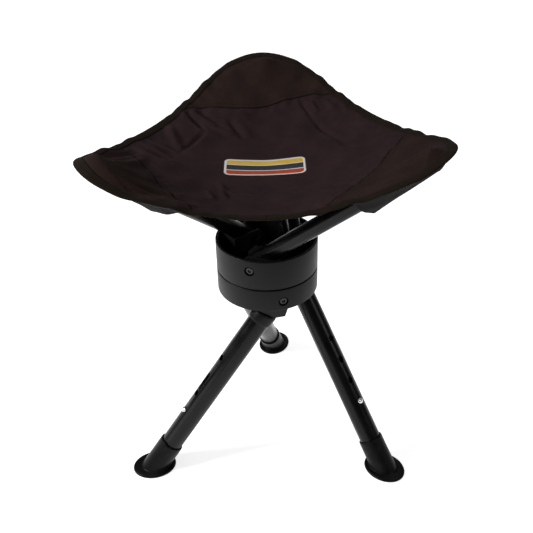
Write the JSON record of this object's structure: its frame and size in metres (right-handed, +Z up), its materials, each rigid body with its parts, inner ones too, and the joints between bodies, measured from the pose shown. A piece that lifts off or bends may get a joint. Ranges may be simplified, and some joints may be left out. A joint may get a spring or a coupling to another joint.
{
  "type": "three-leg folding stool",
  "caption": "Folding tripod stool: fabric sling seat on three pivoting arms, swivel hub and three telescoping legs with flat rubber feet.",
  "frame": {"origin": "on the floor, under the middle of the stool's box; the hub's axis is 0.6 mm towards -X and 29.5 mm towards -Y of it", "axes": "+Z up; -Y is the front, where two of the seat's corners are either side"},
  "size_m": [0.3687, 0.3456, 0.4322],
  "materials": {
    "hub_plastic": "satin moulded black plastic",
    "fitting_plastic": "satin black plastic",
    "black_tube": "semi-gloss black powder coat",
    "black_screw": "black oxide",
    "bright_steel": "polished",
    "foot_rubber": "smooth moulded black rubber",
    "seat_fabric": "woven polyester, black-brown",
    "nylon": "natural nylon"
  },
  "bodies": {
    "lower_hub": {"lower_hub": "hub_plastic", "swivel_washer": "nylon", "centre_bolt": "black_screw", "centre_nut": "black_screw", "leg_pivot_screw_1": "black_screw", "leg_pivot_nut_1": "black_screw", "leg_pivot_screw_2": "black_screw", "leg_pivot_nut_2": "black_screw", "leg_pivot_screw_3": "black_screw", "leg_pivot_nut_3": "black_screw"},
    "upper_hub": {"upper_hub": "hub_plastic", "arm_pivot_screw_1": "black_screw", "arm_pivot_nut_1": "black_screw", "arm_pivot_screw_2": "black_screw", "arm_pivot_nut_2": "black_screw", "arm_pivot_screw_3": "black_screw", "arm_pivot_nut_3": "black_screw"},
    "leg_1": {"leg_inner_tube_1": "black_tube", "leg_pivot_plug_1": "fitting_plastic", "guide_bush_1": "fitting_plastic", "button_spring_1": "bright_steel"},
    "leg_slider_1": {"leg_outer_tube_1": "black_tube", "leg_collar_1": "fitting_plastic", "foot_1": "foot_rubber"},
    "button_1": {"snap_button_1": "bright_steel"},
    "leg_2": {"leg_inner_tube_2": "black_tube", "leg_pivot_plug_2": "fitting_plastic", "guide_bush_2": "fitting_plastic", "button_spring_2": "bright_steel"},
    "leg_slider_2": {"leg_outer_tube_2": "black_tube", "leg_collar_2": "fitting_plastic", "foot_2": "foot_rubber"},
    "button_2": {"snap_button_2": "bright_steel"},
    "leg_3": {"leg_inner_tube_3": "black_tube", "leg_pivot_plug_3": "fitting_plastic", "guide_bush_3": "fitting_plastic", "button_spring_3": "bright_steel"},
    "leg_slider_3": {"leg_outer_tube_3": "black_tube", "leg_collar_3": "fitting_plastic", "foot_3": "foot_rubber"},
    "button_3": {"snap_button_3": "bright_steel"},
    "arm_1": {"arm_tube_1": "black_tube", "arm_pivot_plug_1": "fitting_plastic", "arm_end_cap_1": "fitting_plastic", "seat_pocket_1": "seat_fabric"},
    "arm_2": {"arm_tube_2": "black_tube", "arm_pivot_plug_2": "fitting_plastic", "arm_end_cap_2": "fitting_plastic", "seat_pocket_2": "seat_fabric"},
    "arm_3": {"arm_tube_3": "black_tube", "arm_pivot_plug_3": "fitting_plastic", "arm_end_cap_3": "fitting_plastic", "seat_pocket_3": "seat_fabric"},
    "seat_left_1": {"seat_panel_left_1": "seat_fabric"},
    "seat_right_1": {"seat_panel_right_1": "seat_fabric"},
    "seat_left_2": {"seat_panel_left_2": "seat_fabric"},
    "seat_right_2": {"seat_panel_right_2": "seat_fabric"},
    "seat_left_3": {"seat_panel_left_3": "seat_fabric"},
    "seat_right_3": {"seat_panel_right_3": "seat_fabric"}
  },
  "joints": [
    {"name": "seat_swivel", "type": "hinge", "parent": "lower_hub", "child": "upper_hub", "pos_m": [-0.0006, -0.0295, 0.2464], "axis": [0, 0, 1], "continuous": true},
    {"name": "leg_fold_1", "type": "hinge", "parent": "lower_hub", "child": "leg_1", "pos_m": [0.01205, -0.06604, 0.23], "axis": [0.2377, -0.9713, 0], "range_deg": [0, 35.2]},
    {"name": "leg_extend_1", "type": "slide", "parent": "leg_1", "child": "leg_slider_1", "axis": [-0.5599, -0.137, -0.8171], "range_m": [0, 0.084], "deforming": ["snap_button_1"]},
    {"name": "button_press_1", "type": "slide", "parent": "leg_1", "child": "button_1", "axis": [0.7937, 0.1942, -0.5764], "range_m": [0, 0.004], "stiffness_N_per_m": 400, "springref_m": -0.002, "deforming": ["button_spring_1"]},
    {"name": "leg_fold_2", "type": "hinge", "parent": "lower_hub", "child": "leg_2", "pos_m": [0.02472, -0.00028, 0.23], "axis": [0.7224, 0.6915, 0], "range_deg": [0, 35.2]},
    {"name": "leg_extend_2", "type": "slide", "parent": "leg_2", "child": "leg_slider_2", "axis": [0.3986, -0.4164, -0.8171], "range_m": [0, 0.084], "deforming": ["snap_button_2"]},
    {"name": "button_press_2", "type": "slide", "parent": "leg_2", "child": "button_2", "axis": [-0.5651, 0.5903, -0.5764], "range_m": [0, 0.004], "stiffness_N_per_m": 400, "springref_m": -0.002, "deforming": ["button_spring_2"]},
    {"name": "leg_fold_3", "type": "hinge", "parent": "lower_hub", "child": "leg_3", "pos_m": [-0.03857, -0.02218, 0.23], "axis": [-0.96, 0.2798, 0], "range_deg": [0, 35.2]},
    {"name": "leg_extend_3", "type": "slide", "parent": "leg_3", "child": "leg_slider_3", "axis": [0.1613, 0.5534, -0.8171], "range_m": [0, 0.084], "deforming": ["snap_button_3"]},
    {"name": "button_press_3", "type": "slide", "parent": "leg_3", "child": "button_3", "axis": [-0.2287, -0.7845, -0.5764], "range_m": [0, 0.004], "stiffness_N_per_m": 400, "springref_m": -0.002, "deforming": ["button_spring_3"]},
    {"name": "arm_fold_1", "type": "hinge", "parent": "upper_hub", "child": "arm_1", "pos_m": [-0.02183, -0.00411, 0.2698], "axis": [-0.6414, 0.7672, 0], "range_deg": [0, 51.2], "deforming": ["seat_pocket_1"]},
    {"name": "arm_fold_2", "type": "hinge", "parent": "upper_hub", "child": "arm_2", "pos_m": [-0.01197, -0.06058, 0.2698], "axis": [-0.3437, -0.9391, 0], "range_deg": [0, 51.2], "deforming": ["seat_pocket_2"]},
    {"name": "arm_fold_3", "type": "hinge", "parent": "upper_hub", "child": "arm_3", "pos_m": [0.03201, -0.02381, 0.2698], "axis": [0.9851, 0.1719, 0], "range_deg": [0, 51.2], "deforming": ["seat_pocket_3"]},
    {"name": "seat_drape_left_1", "type": "hinge", "parent": "arm_1", "child": "seat_left_1", "pos_m": [-0.16293, -0.12208, 0.41768], "axis": [0.2473, 0.8867, -0.3906], "range_deg": [0, 33.82], "deforming": ["seat_panel_left_1"]},
    {"name": "seat_drape_right_1", "type": "hinge", "parent": "arm_1", "child": "seat_right_1", "pos_m": [-0.16293, -0.12208, 0.41768], "axis": [-0.9363, 0.1022, 0.3361], "range_deg": [0, 40.85], "deforming": ["seat_panel_right_1"]},
    {"name": "seat_drape_left_2", "type": "hinge", "parent": "arm_2", "child": "seat_left_2", "pos_m": [0.16075, -0.12379, 0.41768], "axis": [-0.8916, -0.2292, -0.3906], "range_deg": [0, 33.82], "deforming": ["seat_panel_left_2"]},
    {"name": "seat_drape_right_2", "type": "hinge", "parent": "arm_2", "child": "seat_right_2", "pos_m": [0.16075, -0.12379, 0.41768], "axis": [0.3796, -0.8619, 0.3361], "range_deg": [0, 40.85], "deforming": ["seat_panel_right_2"]},
    {"name": "seat_drape_left_3", "type": "hinge", "parent": "arm_3", "child": "seat_left_3", "pos_m": [0.00038, 0.15738, 0.41768], "axis": [0.6443, -0.6575, -0.3906], "range_deg": [0, 33.82], "deforming": ["seat_panel_left_3"]},
    {"name": "seat_drape_right_3", "type": "hinge", "parent": "arm_3", "child": "seat_right_3", "pos_m": [0.00038, 0.15738, 0.41768], "axis": [0.5566, 0.7597, 0.3361], "range_deg": [0, 40.85], "deforming": ["seat_panel_right_3"]}
  ],
  "couplings": [
    {"joint": "arm_fold_2", "follows": "arm_fold_1", "ratio": 1},
    {"joint": "arm_fold_3", "follows": "arm_fold_1", "ratio": 1},
    {"joint": "seat_drape_left_1", "follows": "arm_fold_1", "ratio": 0.66044},
    {"joint": "seat_drape_right_1", "follows": "arm_fold_1", "ratio": 0.79761},
    {"joint": "seat_drape_left_2", "follows": "arm_fold_1", "ratio": 0.66044},
    {"joint": "seat_drape_right_2", "follows": "arm_fold_1", "ratio": 0.79761},
    {"joint": "seat_drape_left_3", "follows": "arm_fold_1", "ratio": 0.66044},
    {"joint": "seat_drape_right_3", "follows": "arm_fold_1", "ratio": 0.79761}
  ]
}
